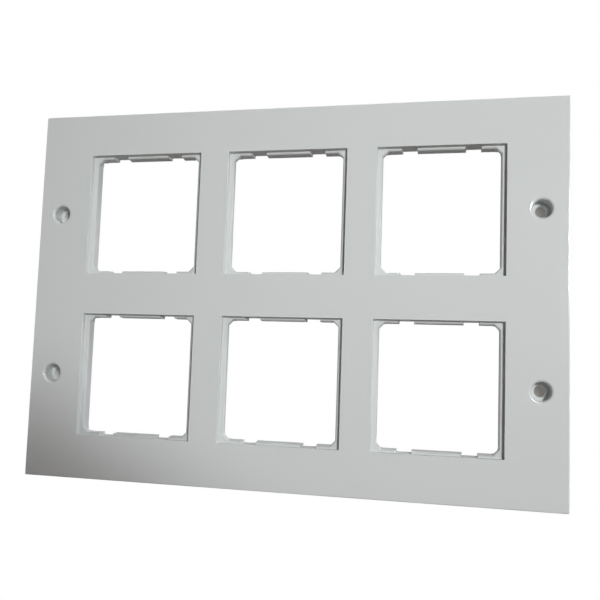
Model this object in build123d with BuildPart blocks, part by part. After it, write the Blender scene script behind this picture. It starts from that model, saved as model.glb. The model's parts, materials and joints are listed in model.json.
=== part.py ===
"""Wall plate with two rows of three windows for snap-in wiring modules, moulded in one piece.

Millimetres. The plate stands upright: X runs across it, Z up, and its front faces -Y. The origin
is the centre of the plane in which the back rim meets the wall.
"""

import math
import os

from build123d import *

# Layout of the front face
columns = 3
rows = 2
window_width = 44.7
window_height = 45.9
column_bar = 10.9
row_bar = 15.6
side_border = 20.55
end_border = 16.05

# Front skin and the skirt that carries it off the wall
skin_thickness = 2.4
skirt_thickness = 2.0
corner_radius = 0.5
front_edge_radius = 0.4
rim_chamfer = 0.3

# Window seats: aperture, set-back side ledges, snap lugs, corner gussets, and draft in degrees
aperture_edge_radius = 0.15
seat_setback = 2.1
side_ledge = 1.7
lug_reach = 1.0
centre_lug_width = 16.6
notch_width = 5.6
gusset_leg = 2.0
seat_edge_chamfer = 0.4
opening_draft = 3.0

# Walls behind the skin, each measured from the back of the skin
collar_thickness = 1.6
collar_height = 1.6
lug_wall_height = 3.8
side_rail_height = 3.3
rib_thickness = 1.2
rib_height = 2.8
wall_gap = 2.8

# Recessed screw holes, level with the window rows
screw_edge_distance = 8.85
screw_hole_diameter = 4.0
head_bore_diameter = 6.4
head_bore_depth = 5.5
mouth_edge_radius = 0.9
hole_rim_chamfer = 0.3
post_wall = 1.7

# Overall sizes and pitches that follow from the layout
block_width = columns * window_width + (columns - 1) * column_bar
block_height = rows * window_height + (rows - 1) * row_bar
plate_width = block_width + 2 * side_border
plate_height = block_height + 2 * end_border
plate_depth = skin_thickness + max(lug_wall_height, side_rail_height) + wall_gap
column_pitch = window_width + column_bar
row_pitch = window_height + row_bar
screw_spacing = plate_width - 2 * screw_edge_distance

# Planes parallel to the wall, all facing the front
wall_plane = Plane.XZ
skin_back = wall_plane.offset(plate_depth - skin_thickness)
seat_plane = wall_plane.offset(plate_depth - seat_setback)
floor_plane = wall_plane.offset(plate_depth - head_bore_depth)
front_plane = wall_plane.offset(plate_depth)

# Clear opening at the front of a seat
clear_width = window_width - 2 * side_ledge
clear_height = window_height - 2 * lug_reach

# Lug walls and side rails, with stock on the inside for the leaning walls of the openings
lean = (plate_depth - seat_setback) * math.tan(math.radians(opening_draft))
lug_wall_thickness = collar_thickness + lug_reach + lean
side_rail_thickness = collar_thickness + side_ledge + lean


def window_grid() -> GridLocations:
    """Centres of the windows in the plane of the plate."""
    return GridLocations(column_pitch, row_pitch, columns, rows)


def screw_grid() -> GridLocations:
    """Centres of the screw holes, a pair beside each row of windows."""
    return GridLocations(screw_spacing, row_pitch, 2, rows)


def is_seat_edge(edge: Edge) -> bool:
    """True for an edge that bounds the clear opening on the front of a ledge or lug."""
    middle = seat_plane.to_local_coords(edge @ 0.5)
    if abs(middle.Z) > 1e-4:
        return False
    for spot in window_grid().local_locations:
        across = abs(middle.X - spot.position.X)
        along = abs(middle.Y - spot.position.Y)
        if across < clear_width / 2 + 1e-4 and along < clear_height / 2 + 1e-4:
            return True
    return False


def is_hole_rim(edge: Edge) -> bool:
    """True for the edge between the floor of a head bore and its screw hole."""
    if edge.geom_type != GeomType.CIRCLE:
        return False
    at_floor = abs(floor_plane.to_local_coords(edge.arc_center).Z) < 1e-4
    return at_floor and abs(edge.radius - screw_hole_diameter / 2) < 1e-4


with BuildPart() as plate:
    # Solid slab with rounded front edges and a chamfered back rim
    with BuildSketch(wall_plane):
        RectangleRounded(plate_width, plate_height, corner_radius)
    extrude(amount=plate_depth)
    fillet(plate.faces().sort_by(Axis.Y)[0].edges(), front_edge_radius)
    chamfer(plate.faces().sort_by(Axis.Y)[-1].edges(), rim_chamfer)

    # Hollow back, leaving the skin and the skirt
    with BuildSketch(wall_plane):
        Rectangle(plate_width - 2 * skirt_thickness, plate_height - 2 * skirt_thickness)
    extrude(amount=plate_depth - skin_thickness, mode=Mode.SUBTRACT)

    # Collar block behind each window
    with BuildSketch(skin_back):
        with window_grid():
            Rectangle(window_width + 2 * collar_thickness, window_height + 2 * collar_thickness)
    extrude(amount=-collar_height)

    # Deepest walls, which carry the lugs above and below each window
    lug_wall_middle = (window_height - lug_wall_thickness) / 2 + collar_thickness
    with BuildSketch(skin_back):
        with window_grid():
            with Locations((0, lug_wall_middle), (0, -lug_wall_middle)):
                Rectangle(window_width + 2 * collar_thickness, lug_wall_thickness)
    extrude(amount=-lug_wall_height)

    # Deeper rails along the outer sides of the window block
    side_rail_middle = (block_width - side_rail_thickness) / 2 + collar_thickness
    with BuildSketch(skin_back):
        with Locations((side_rail_middle, 0), (-side_rail_middle, 0)):
            Rectangle(side_rail_thickness, block_height + 2 * collar_thickness)
    extrude(amount=-side_rail_height)

    # Stiffening ribs between the rows and columns, and through the screw posts
    with BuildSketch(skin_back):
        with GridLocations(0, row_pitch, 1, rows - 1):
            Rectangle(plate_width - 2 * skirt_thickness, rib_thickness)
        with GridLocations(column_pitch, 0, columns - 1, 1):
            Rectangle(rib_thickness, plate_height - 2 * skirt_thickness)
        with GridLocations(block_width + side_border, row_pitch, 2, rows):
            Rectangle(side_border, rib_thickness)
    extrude(amount=-rib_height)

    # Screw posts down to the wall
    with BuildSketch(wall_plane):
        with screw_grid():
            Circle(head_bore_diameter / 2 + post_wall)
    extrude(amount=plate_depth - skin_thickness)

    # Square apertures down to the seats
    with BuildSketch(front_plane):
        with window_grid():
            Rectangle(window_width, window_height)
    extrude(amount=-seat_setback, mode=Mode.SUBTRACT)

    # Clear openings: gusseted corners, notches that part the lugs, and walls that lean in towards the back
    with BuildSketch(-seat_plane) as opening:
        with window_grid():
            Rectangle(clear_width, clear_height)
        chamfer(opening.vertices(), gusset_leg)
        with window_grid():
            with GridLocations(centre_lug_width + notch_width, 0, 2, 1):
                Rectangle(notch_width, window_height)
    extrude(amount=plate_depth - seat_setback, taper=opening_draft, mode=Mode.SUBTRACT)

    # Counterbored screw holes
    with Locations(front_plane):
        with screw_grid():
            CounterBoreHole(screw_hole_diameter / 2, head_bore_diameter / 2, head_bore_depth)

    # Broken edges that catch the light
    front_face = plate.faces().sort_by(Axis.Y)[0]
    front_rims = front_face.edges() - front_face.outer_wire().edges()
    mouths = front_rims.filter_by(GeomType.CIRCLE)
    apertures = front_rims.filter_by(GeomType.LINE)
    fillet(mouths, mouth_edge_radius)
    fillet(apertures, aperture_edge_radius)
    chamfer(plate.edges().filter_by(is_seat_edge), seat_edge_chamfer)
    chamfer(plate.edges().filter_by(is_hole_rim), hole_rim_chamfer)

plate.part.label = "switch_plate"
os.makedirs("parts", exist_ok=True)
export_step(plate.part, "parts/switch_plate.step")
print(f"plate {plate_width:.1f} x {plate_height:.1f} x {plate_depth:.1f} mm")
print(f"screws {screw_spacing:.2f} x {row_pitch:.2f} mm")
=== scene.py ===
"""Six-window wall plate in white moulded plastic, dressed and lit for a studio view.

Metres, in the frame of the solids: X runs across the plate, Z up, and the front faces -Y.
"""

import json
import logging
import math
from dataclasses import dataclass
from enum import Enum

import bmesh
import bpy
from mathutils import Matrix, Quaternion, Vector


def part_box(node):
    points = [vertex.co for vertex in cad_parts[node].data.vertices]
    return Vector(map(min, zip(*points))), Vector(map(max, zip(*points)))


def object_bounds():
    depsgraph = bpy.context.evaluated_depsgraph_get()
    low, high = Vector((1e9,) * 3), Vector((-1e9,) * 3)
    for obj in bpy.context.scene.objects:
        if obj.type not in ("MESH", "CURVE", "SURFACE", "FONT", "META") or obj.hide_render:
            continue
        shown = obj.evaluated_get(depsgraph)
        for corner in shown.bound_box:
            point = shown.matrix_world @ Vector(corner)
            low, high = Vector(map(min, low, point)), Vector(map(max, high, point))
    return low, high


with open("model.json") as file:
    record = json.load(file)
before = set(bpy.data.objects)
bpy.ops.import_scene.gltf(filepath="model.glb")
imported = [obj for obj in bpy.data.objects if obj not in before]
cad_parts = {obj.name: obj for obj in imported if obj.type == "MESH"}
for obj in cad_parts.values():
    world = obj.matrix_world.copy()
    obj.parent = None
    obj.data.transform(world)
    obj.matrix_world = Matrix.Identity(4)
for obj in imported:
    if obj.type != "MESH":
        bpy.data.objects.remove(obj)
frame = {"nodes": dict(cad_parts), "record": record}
CAD_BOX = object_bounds()
LOW_CORNER, HIGH_CORNER = CAD_BOX

PLATE_NODE = "switch_plate"
MILLIMETRE = 0.001
SENSOR_WIDTH = 36.0
WHITE = (1.0, 1.0, 1.0)
LOG = logging.getLogger("wall_plate")

Colour = tuple[float, float, float]
Point = tuple[float, float, float]
Socket = bpy.types.NodeSocket


class Operation(Enum):
    """What a Math node does with its operands."""

    ADD = "ADD"
    SUBTRACT = "SUBTRACT"
    MULTIPLY = "MULTIPLY"
    DIVIDE = "DIVIDE"
    MAXIMUM = "MAXIMUM"
    ABSOLUTE = "ABSOLUTE"
    LESS_THAN = "LESS_THAN"
    GREATER_THAN = "GREATER_THAN"


class Ray(Enum):
    """Kinds of ray, each by the setting that hides an object from it."""

    CAMERA = "visible_camera"
    DIFFUSE = "visible_diffuse"
    GLOSSY = "visible_glossy"
    SHADOW = "visible_shadow"


class NodeBench:
    """Adds nodes to one node tree and wires them together."""

    def __init__(self, tree: bpy.types.NodeTree) -> None:
        """Takes over a tree and empties it.

        Args:
            tree: The node tree of a material, a world or a group.
        """
        self.tree = tree
        self.tree.nodes.clear()

    def add(self, kind: str, settings: dict[str, object] | None = None, **inputs: object) -> bpy.types.Node:
        """Adds a node and fills its input sockets.

        Args:
            kind: Blender's name for the node type.
            settings: Values for the node's own properties.
            inputs: Socket values or source sockets, with spaces in names written as underscores.

        Returns:
            The new node.
        """
        node = self.tree.nodes.new(kind)
        for key, value in (settings or {}).items():
            setattr(node, key, value)
        for key, value in inputs.items():
            self.feed(node.inputs[key.replace("_", " ")], value)
        return node

    def feed(self, socket: Socket, value: object) -> None:
        """Links a source socket to an input, or sets the input's own value.

        Args:
            socket: The input to fill.
            value: A source socket, a number, a vector or a colour.
        """
        if isinstance(value, Socket):
            self.tree.links.new(value, socket)
        elif socket.type == "RGBA":
            socket.default_value = (*value, 1.0)
        else:
            socket.default_value = value

    def math(self, operation: Operation, first: object, second: object = 0.0) -> Socket:
        """Adds a Math node.

        Args:
            operation: What it does.
            first: First operand, a socket or a number.
            second: Second operand, a socket or a number.

        Returns:
            The result socket.
        """
        node = self.add("ShaderNodeMath", {"operation": operation.value})
        self.feed(node.inputs[0], first)
        self.feed(node.inputs[1], second)
        return node.outputs["Value"]

    def ramp(self, value: Socket, start: float, end: float, low: float, high: float) -> Socket:
        """Adds a smooth Map Range node.

        Args:
            value: The value to map.
            start: Value that gives the low result.
            end: Value that gives the high result.
            low: Result at the start.
            high: Result at the end.

        Returns:
            The mapped value socket.
        """
        node = self.add("ShaderNodeMapRange", {"interpolation_type": "SMOOTHSTEP"}, Value=value)
        for name, limit in (("From Min", start), ("From Max", end), ("To Min", low), ("To Max", high)):
            self.feed(node.inputs[name], limit)
        return node.outputs["Result"]

    def blend(self, factor: Socket, low: Colour, high: Colour) -> Socket:
        """Adds a colour Mix node.

        Args:
            factor: Share of the second colour.
            low: Colour at factor 0.
            high: Colour at factor 1.

        Returns:
            The mixed colour socket.
        """
        node = self.add("ShaderNodeMix", {"data_type": "RGBA"})
        colours = [socket for socket in node.inputs if socket.type == "RGBA"]
        self.feed(node.inputs[0], factor)
        self.feed(colours[0], low)
        self.feed(colours[1], high)
        return next(socket for socket in node.outputs if socket.type == "RGBA")

    def mix(self, factor: Socket, first: Socket, second: Socket) -> Socket:
        """Adds a Mix Shader node.

        Args:
            factor: Share of the second shader.
            first: Shader at factor 0.
            second: Shader at factor 1.

        Returns:
            The mixed shader socket.
        """
        node = self.add("ShaderNodeMixShader")
        for socket, source in zip(node.inputs, (factor, first, second)):
            self.feed(socket, source)
        return node.outputs["Shader"]


class Mottle:
    """A shader node group that spreads a soft random value over a surface.

    Attributes:
        detail: How many finer layers of noise the value has.
        group: The node group.
    """

    detail: float = 1.0

    def __init__(self) -> None:
        """Builds the group, with Vector, Size, Low and High inputs and a Value output."""
        self.group = bpy.data.node_groups.new("mottle", "ShaderNodeTree")
        bench = NodeBench(self.group)
        self.group.interface.new_socket("Vector", in_out="INPUT", socket_type="NodeSocketVector")
        for name in ("Size", "Low", "High"):
            self.group.interface.new_socket(name, in_out="INPUT", socket_type="NodeSocketFloat")
        self.group.interface.new_socket("Value", in_out="OUTPUT", socket_type="NodeSocketFloat")
        given = bench.add("NodeGroupInput").outputs
        scale = bench.math(Operation.DIVIDE, 1.0, given["Size"])
        noise = bench.add("ShaderNodeTexNoise", Vector=given["Vector"], Scale=scale, Detail=self.detail)
        span = bench.math(Operation.SUBTRACT, given["High"], given["Low"])
        rise = bench.math(Operation.MULTIPLY, noise.outputs["Fac"], span)
        bench.add("NodeGroupOutput", Value=bench.math(Operation.ADD, given["Low"], rise))

    def value(self, bench: NodeBench, place: Socket, size: float, low: float, high: float) -> Socket:
        """Places the group in a material with its own size and range.

        Args:
            bench: The material's bench.
            place: Object coordinates.
            size: Width of the patches.
            low: Lowest value.
            high: Highest value.

        Returns:
            A socket that drifts between the two values.
        """
        setting = {"node_tree": self.group}
        node = bench.add("ShaderNodeGroup", setting, Vector=place, Size=size, Low=low, High=high)
        return node.outputs["Value"]

    def tint(self, bench: NodeBench, place: Socket, size: float, colour: Colour, spread: float) -> Socket:
        """Places the group as a drift of colour.

        Args:
            bench: The material's bench.
            place: Object coordinates.
            size: Width of the patches.
            colour: The colour where it is palest.
            spread: Share by which it darkens.

        Returns:
            The drifting colour socket.
        """
        dim = tuple(channel * (1.0 - spread) for channel in colour)
        return bench.blend(self.value(bench, place, size, 0.0, 1.0), dim, colour)


def start_material(name: str) -> tuple[bpy.types.Material, NodeBench]:
    """Starts an empty material.

    Args:
        name: Name of the material.

    Returns:
        The material, and the bench for its nodes.
    """
    made = bpy.data.materials.new(name)
    made.use_nodes = True
    return made, NodeBench(made.node_tree)


def set_on_stage(
    name: str, shape: bmesh.types.BMesh, material: bpy.types.Material, unseen_by: tuple[Ray, ...] = ()
) -> None:
    """Turns a finished shape into a piece of the stage.

    Args:
        name: Name of the piece.
        shape: Its shape, which is freed.
        material: Its material.
        unseen_by: Rays that pass through it.
    """
    mesh = bpy.data.meshes.new(name)
    shape.to_mesh(mesh)
    shape.free()
    mesh.materials.append(material)
    piece = bpy.data.objects.new(name, mesh)
    for ray in unseen_by:
        setattr(piece, ray.value, False)
    bpy.context.scene.collection.objects.link(piece)
    LOG.info("staged %s", name)


def facing(centre: Point, aim: Point, turn: float = 0.0) -> Matrix:
    """Works out a placement whose local -Z points at a target.

    Args:
        centre: Origin of the placement.
        aim: The target.
        turn: Turn about the line of sight, in degrees.

    Returns:
        The placement as a 4 x 4 matrix.
    """
    sight = Vector(aim) - Vector(centre)
    level = sight.to_track_quat("-Z", "Y")
    roll = Quaternion((0.0, 0.0, 1.0), math.radians(turn))
    return Matrix.LocRotScale(Vector(centre), level @ roll, None)


@dataclass(frozen=True)
class MouldedPlastic:
    """White plastic with a polished show side and a satin back, as one mould leaves it.

    Attributes:
        colour: Base colour of the plastic.
        tone_size: Width of the patches in which the colour drifts.
        tone_spread: Share by which it drifts.
        gloss: Roughness of the polished side.
        skin_gloss: Roughness of the clear skin over the polished side.
        satin: Roughness of the recesses and the back.
        roughness_spread: Amount by which both roughnesses drift.
        refraction: Index of refraction of the plastic.
        flow_size: Width of the slow ripples that the melt leaves.
        flow_height: Height of those ripples.
        grain_size: Width of the satin grain.
        grain_height: Height of the satin grain.
        face_depth: How far behind the front face its own polish reaches.
        mouth_depth: How far into the mouths of the screw holes the polish reaches.
        border: Width of the side borders that hold the screw holes.
        polish_margin: How far inside the outer sides the polish reaches.
    """

    colour: Colour = (0.61, 0.635, 0.628)
    tone_size: float = 0.036
    tone_spread: float = 0.012
    gloss: float = 0.15
    skin_gloss: float = 0.08
    satin: float = 0.66
    roughness_spread: float = 0.02
    refraction: float = 1.58
    flow_size: float = 0.018
    flow_height: float = 0.000003
    grain_size: float = 0.0006
    grain_height: float = 0.000004
    face_depth: float = 0.000005
    mouth_depth: float = 0.0004
    border: float = 0.016
    polish_margin: float = 0.0005

    def show_side(self, bench: NodeBench, place: Socket) -> Socket:
        """Builds the mask of the polished front and outer sides.

        Args:
            bench: The material's bench.
            place: Object coordinates.

        Returns:
            A socket that is 1 on the polished surfaces and 0 elsewhere.
        """
        low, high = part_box(PLATE_NODE)
        axes = bench.add("ShaderNodeSeparateXYZ", Vector=place).outputs
        face = bench.math(Operation.LESS_THAN, axes["Y"], low.y + self.face_depth)
        shallow = bench.math(Operation.LESS_THAN, axes["Y"], low.y + self.mouth_depth)
        across = bench.math(Operation.ABSOLUTE, axes["X"])
        border = bench.math(Operation.GREATER_THAN, across, high.x - self.border)
        mouths = bench.math(Operation.MULTIPLY, shallow, border)
        flank = bench.math(Operation.GREATER_THAN, across, high.x - self.polish_margin)
        height = bench.math(Operation.ABSOLUTE, axes["Z"])
        edge = bench.math(Operation.GREATER_THAN, height, high.z - self.polish_margin)
        outer = bench.math(Operation.MAXIMUM, flank, edge)
        front = bench.math(Operation.MAXIMUM, face, mouths)
        return bench.math(Operation.MAXIMUM, outer, front)

    def material(self, mottle: Mottle) -> bpy.types.Material:
        """Builds the plastic's material.

        Args:
            mottle: The group that spreads a soft random value.

        Returns:
            The finished material.
        """
        made, bench = start_material("plate_plastic_moulded")
        place = bench.add("ShaderNodeTexCoord").outputs["Object"]
        polished = self.show_side(bench, place)
        colour = mottle.tint(bench, place, self.tone_size, self.colour, self.tone_spread)

        plain = bench.ramp(polished, 0.0, 1.0, self.satin, self.gloss)
        wander = mottle.value(bench, place, self.flow_size, -self.roughness_spread, self.roughness_spread)
        roughness = bench.math(Operation.ADD, plain, wander)

        flow = mottle.value(bench, place, self.flow_size, 0.0, self.flow_height)
        grain = mottle.value(bench, place, self.grain_size, 0.0, self.grain_height)
        unpolished = bench.math(Operation.SUBTRACT, 1.0, polished)
        relief = bench.math(Operation.ADD, flow, bench.math(Operation.MULTIPLY, grain, unpolished))
        bump = bench.add("ShaderNodeBump", Strength=1.0, Distance=1.0, Height=relief)

        shader = bench.add(
            "ShaderNodeBsdfPrincipled",
            Base_Color=colour,
            Roughness=roughness,
            IOR=self.refraction,
            Coat_Weight=polished,
            Coat_Roughness=self.skin_gloss,
            Normal=bump.outputs["Normal"],
        )
        bench.add("ShaderNodeOutputMaterial", Surface=shader.outputs["BSDF"])
        return made


@dataclass
class WallPlate:
    """The moulded plate, which stays as the solids give it and only takes its finish.

    Attributes:
        finish: The plastic that it is moulded in.
    """

    finish: MouldedPlastic

    def dress(self, mottle: Mottle) -> None:
        """Gives the plate its plastic.

        Args:
            mottle: The group that spreads a soft random value.
        """
        plate = frame["nodes"][PLATE_NODE]
        material = self.finish.material(mottle)
        for holder in plate.material_slots:
            holder.material = material
        LOG.info("dressed %s in %s", plate.name, material.name)


@dataclass
class Floor:
    """A pale round floor under the plate that fades out into the white surround.

    Attributes:
        drop: Height of the plate's lower edge above the floor.
        radius: Radius of the floor.
        fade_start: Radius at which it starts to fade.
        wash: Share of the white surround that the camera sees in it before the fade.
        segments: Number of sides of its outline.
        colour: Colour of the floor.
        roughness: Roughness of the floor.
        grain_size: Width of its soft mottling.
        grain_spread: Share by which its colour drifts.
    """

    drop: float = 0.28
    radius: float = 0.66
    fade_start: float = 0.25
    wash: float = 0.55
    segments: int = 96
    colour: Colour = (0.82, 0.82, 0.81)
    roughness: float = 0.7
    grain_size: float = 0.004
    grain_spread: float = 0.03

    def material(self, mottle: Mottle) -> bpy.types.Material:
        """Builds the floor's material.

        Args:
            mottle: The group that spreads a soft random value.

        Returns:
            The finished material.
        """
        made, bench = start_material("pale_floor")
        place = bench.add("ShaderNodeTexCoord").outputs["Object"]
        colour = mottle.tint(bench, place, self.grain_size, self.colour, self.grain_spread)
        paper = bench.add("ShaderNodeBsdfPrincipled", Base_Color=colour, Roughness=self.roughness)
        surround = bench.add("ShaderNodeEmission", Color=WHITE, Strength=1.0)
        flat = bench.add("ShaderNodeVectorMath", {"operation": "MULTIPLY"})
        bench.feed(flat.inputs[0], place)
        bench.feed(flat.inputs[1], (1.0, 1.0, 0.0))
        reach = bench.add("ShaderNodeVectorMath", {"operation": "LENGTH"}, Vector=flat.outputs["Vector"])
        fade = bench.ramp(reach.outputs["Value"], self.fade_start, self.radius, self.wash, 1.0)
        path = bench.add("ShaderNodeLightPath")
        share = bench.math(Operation.MULTIPLY, fade, path.outputs["Is Camera Ray"])
        surface = bench.mix(share, paper.outputs["BSDF"], surround.outputs["Emission"])
        bench.add("ShaderNodeOutputMaterial", Surface=surface)
        return made

    def build(self, mottle: Mottle) -> None:
        """Makes the floor and stages it.

        Args:
            mottle: The group that spreads a soft random value.
        """
        shape = bmesh.new()
        bmesh.ops.create_circle(shape, cap_ends=True, segments=self.segments, radius=self.radius)
        bmesh.ops.translate(shape, vec=(0.0, 0.0, LOW_CORNER.z - self.drop), verts=shape.verts)
        set_on_stage("floor", shape, self.material(mottle))


@dataclass(frozen=True)
class HoleShade:
    """Small cards at the back of the screw holes, coloured as painted shade with a faint painted light of
    their own, in place of the shaded wall behind them.

    Attributes:
        mount: The record's mount that gives the pattern of the holes.
        inset: Distance of the cards in front of the back rim.
        slack: Gap between a card and the wall of its hole.
        segments: Number of sides of each card.
        painted_shade_colour: Dark colour of the cards, the painted shade of that wall.
        painted_glow: Faint painted light that the cards give off, standing in for the dim light on that
            wall.
    """

    mount: str = "screw_holes"
    inset: float = 0.0003
    slack: float = 0.00001
    segments: int = 24
    # Painted shade: a dark card colour and a faint emission stand for the shaded wall seen through the
    # holes.
    painted_shade_colour: Colour = (0.12, 0.12, 0.12)
    painted_glow: Colour = (0.141, 0.132, 0.123)

    def material(self) -> bpy.types.Material:
        """Builds the painted shade, which shows from the front only.

        Returns:
            The finished material.
        """
        made, bench = start_material("painted_wall_shade")
        # Painted shade: dark diffuse plus a faint emission, which shows from the front only.
        wall = bench.add("ShaderNodeBsdfDiffuse", Color=self.painted_shade_colour)
        painted_glow = bench.add("ShaderNodeEmission", Color=self.painted_glow, Strength=1.0)
        shade = bench.add("ShaderNodeAddShader")
        bench.feed(shade.inputs[0], wall.outputs["BSDF"])
        bench.feed(shade.inputs[1], painted_glow.outputs["Emission"])
        clear = bench.add("ShaderNodeBsdfTransparent")
        behind = bench.add("ShaderNodeNewGeometry").outputs["Backfacing"]
        surface = bench.mix(behind, shade.outputs["Shader"], clear.outputs["BSDF"])
        bench.add("ShaderNodeOutputMaterial", Surface=surface)
        return made

    def build(self) -> None:
        """Makes the cards and stages them."""
        mounts = {mount["name"]: mount["dims"] for mount in frame["record"]["mounts"]}
        pattern = mounts[self.mount]
        spacing_x = pattern["spacing_x_mm"] * MILLIMETRE
        spacing_z = pattern["spacing_y_mm"] * MILLIMETRE
        radius = pattern["hole_r_mm"] * MILLIMETRE - self.slack
        depth = HIGH_CORNER.y - self.inset
        upright = Matrix.Rotation(math.radians(90.0), 4, "X")
        shape = bmesh.new()
        for across in (-0.5, 0.5):
            for up in (-0.5, 0.5):
                spot = Matrix.Translation((across * spacing_x, depth, up * spacing_z))
                bmesh.ops.create_circle(
                    shape, cap_ends=True, segments=self.segments, radius=radius, matrix=spot @ upright
                )
        set_on_stage("hole_shade", shape, self.material(), (Ray.DIFFUSE, Ray.GLOSSY, Ray.SHADOW))


@dataclass(frozen=True)
class Softbox:
    """A rectangular studio light.

    Attributes:
        name: Name of the light.
        centre: Where its face is.
        aim: The point that it faces.
        width: Width of its face.
        height: Height of its face.
        power: Power in watts.
        colour: Colour of its light.
        spread: Angle that a grid on its face narrows the beam to, in degrees.
        mirrored: Whether glossy surfaces show its image.
    """

    name: str
    centre: Point
    aim: Point
    width: float
    height: float
    power: float
    colour: Colour = WHITE
    spread: float = 180.0
    mirrored: bool = True

    def build(self) -> None:
        """Hangs the light."""
        lamp = bpy.data.lights.new(self.name, "AREA")
        lamp.shape = "RECTANGLE"
        lamp.size = self.width
        lamp.size_y = self.height
        lamp.energy = self.power
        lamp.color = self.colour
        lamp.spread = math.radians(self.spread)
        lamp.cycles.use_multiple_importance_sampling = False
        light = bpy.data.objects.new(self.name, lamp)
        light.visible_glossy = self.mirrored
        light.matrix_world = facing(self.centre, self.aim)
        bpy.context.scene.collection.objects.link(light)
        LOG.info("hung the %s light at %.2f W", self.name, self.power)


@dataclass(frozen=True)
class Flag:
    """A black card that shades one corner, and that only shadow rays meet.

    Attributes:
        centre: Middle of the card.
        aim: The point that it faces.
        width: Width of the card.
        height: Height of the card.
        turn: Turn of the card about its own axis, in degrees.
        black: Colour of the card.
    """

    centre: Point
    aim: Point
    width: float
    height: float
    turn: float = 0.0
    black: Colour = (0.01, 0.01, 0.01)

    def material(self) -> bpy.types.Material:
        """Builds the card's black.

        Returns:
            The finished material.
        """
        made, bench = start_material("flag_black")
        felt = bench.add("ShaderNodeBsdfDiffuse", Color=self.black)
        bench.add("ShaderNodeOutputMaterial", Surface=felt.outputs["BSDF"])
        return made

    def build(self) -> None:
        """Makes the card and stages it."""
        shape = bmesh.new()
        bmesh.ops.create_grid(shape, x_segments=1, y_segments=1, size=0.5)
        bmesh.ops.scale(shape, vec=(self.width, self.height, 1.0), verts=shape.verts)
        bmesh.ops.transform(shape, matrix=facing(self.centre, self.aim, self.turn), verts=shape.verts)
        set_on_stage("flag", shape, self.material(), (Ray.CAMERA, Ray.DIFFUSE, Ray.GLOSSY))


@dataclass(frozen=True)
class Studio:
    """The white surround and its dim light.

    Attributes:
        ambient: Colour of the dim light from all round.
        strength: Strength of that light.
    """

    ambient: Colour = (1.0, 0.76, 0.70)
    strength: float = 0.075

    def build(self) -> None:
        """Builds the world."""
        world = bpy.data.worlds.new("studio")
        world.use_nodes = True
        bench = NodeBench(world.node_tree)
        path = bench.add("ShaderNodeLightPath").outputs
        seen = bench.math(Operation.MAXIMUM, path["Is Camera Ray"], path["Is Glossy Ray"])
        seen = bench.math(Operation.MAXIMUM, seen, path["Is Transmission Ray"])
        dim = bench.add("ShaderNodeBackground", Color=self.ambient, Strength=self.strength)
        white = bench.add("ShaderNodeBackground", Color=WHITE, Strength=1.0)
        surface = bench.mix(seen, dim.outputs["Background"], white.outputs["Background"])
        bench.add("ShaderNodeOutputWorld", Surface=surface)
        bpy.context.scene.world = world
        LOG.info("set the surround")


@dataclass(frozen=True)
class PhotoCamera:
    """The camera, at the photograph's viewpoint.

    Attributes:
        centre: Where the camera stands.
        aim: The point on the front face in the middle of the picture.
        roll: Turn of the camera about its line of sight, in degrees.
        lens: Focal length on a 36 mm wide picture.
        near: Distance at which it starts to see.
    """

    centre: Point = (0.06506, -0.26666, -0.02459)
    aim: Point = (0.00682, LOW_CORNER.y, -0.00148)
    roll: float = 1.964
    lens: float = 44.424
    near: float = 0.01

    def build(self) -> None:
        """Sets up the camera and makes it the scene's own."""
        sensor = bpy.data.cameras.new("photo_camera")
        sensor.lens = self.lens
        sensor.sensor_width = SENSOR_WIDTH
        sensor.clip_start = self.near
        camera = bpy.data.objects.new("photo_camera", sensor)
        camera.matrix_world = facing(self.centre, self.aim, self.roll)
        bpy.context.scene.collection.objects.link(camera)
        bpy.context.scene.camera = camera
        LOG.info("set the camera with a %.1f mm lens", self.lens)


# Lights and the shadow card around the plate
FACE_MIDDLE = (0.0, LOW_CORNER.y, 0.0)
MID_DEPTH = (LOW_CORNER.y + HIGH_CORNER.y) / 2
KEY = Softbox(
    name="key",
    centre=(0.36, -0.69, 0.13),
    aim=(-0.01, LOW_CORNER.y, 0.025),
    width=0.12,
    height=0.12,
    power=1.12,
    colour=(0.98, 1.0, 1.0),
    spread=90.0,
)
SIDE = Softbox(
    name="side",
    centre=(0.95, -0.085, 0.66),
    aim=FACE_MIDDLE,
    width=0.40,
    height=0.40,
    power=0.28,
    colour=(0.95, 0.95, 1.05),
    spread=30.0,
)
BACK = Softbox(
    name="back",
    centre=(0.05, 0.95, 0.30),
    aim=FACE_MIDDLE,
    width=0.40,
    height=0.40,
    power=0.68,
    spread=50.0,
    mirrored=False,
)
LEFT = Softbox(
    name="left",
    centre=(-0.95, MID_DEPTH, 0.20),
    aim=(LOW_CORNER.x, MID_DEPTH, 0.0),
    width=0.01,
    height=0.40,
    power=0.16,
    spread=30.0,
    mirrored=False,
)
CORNER_FLAG = Flag(
    centre=(0.1758, -0.2187, -0.1255),
    aim=KEY.centre,
    width=0.0893,
    height=0.4018,
    turn=-54.36,
)


def main() -> None:
    """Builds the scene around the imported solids."""
    logging.basicConfig(level=logging.INFO, format="%(name)s: %(message)s")
    bpy.context.scene.view_settings.view_transform = "Standard"
    mottle = Mottle()
    WallPlate(finish=MouldedPlastic()).dress(mottle)
    Floor().build(mottle)
    HoleShade().build()
    Studio().build()
    for light in (KEY, SIDE, BACK, LEFT):
        light.build()
    CORNER_FLAG.build()
    PhotoCamera().build()


if __name__ == "__main__":
    main()
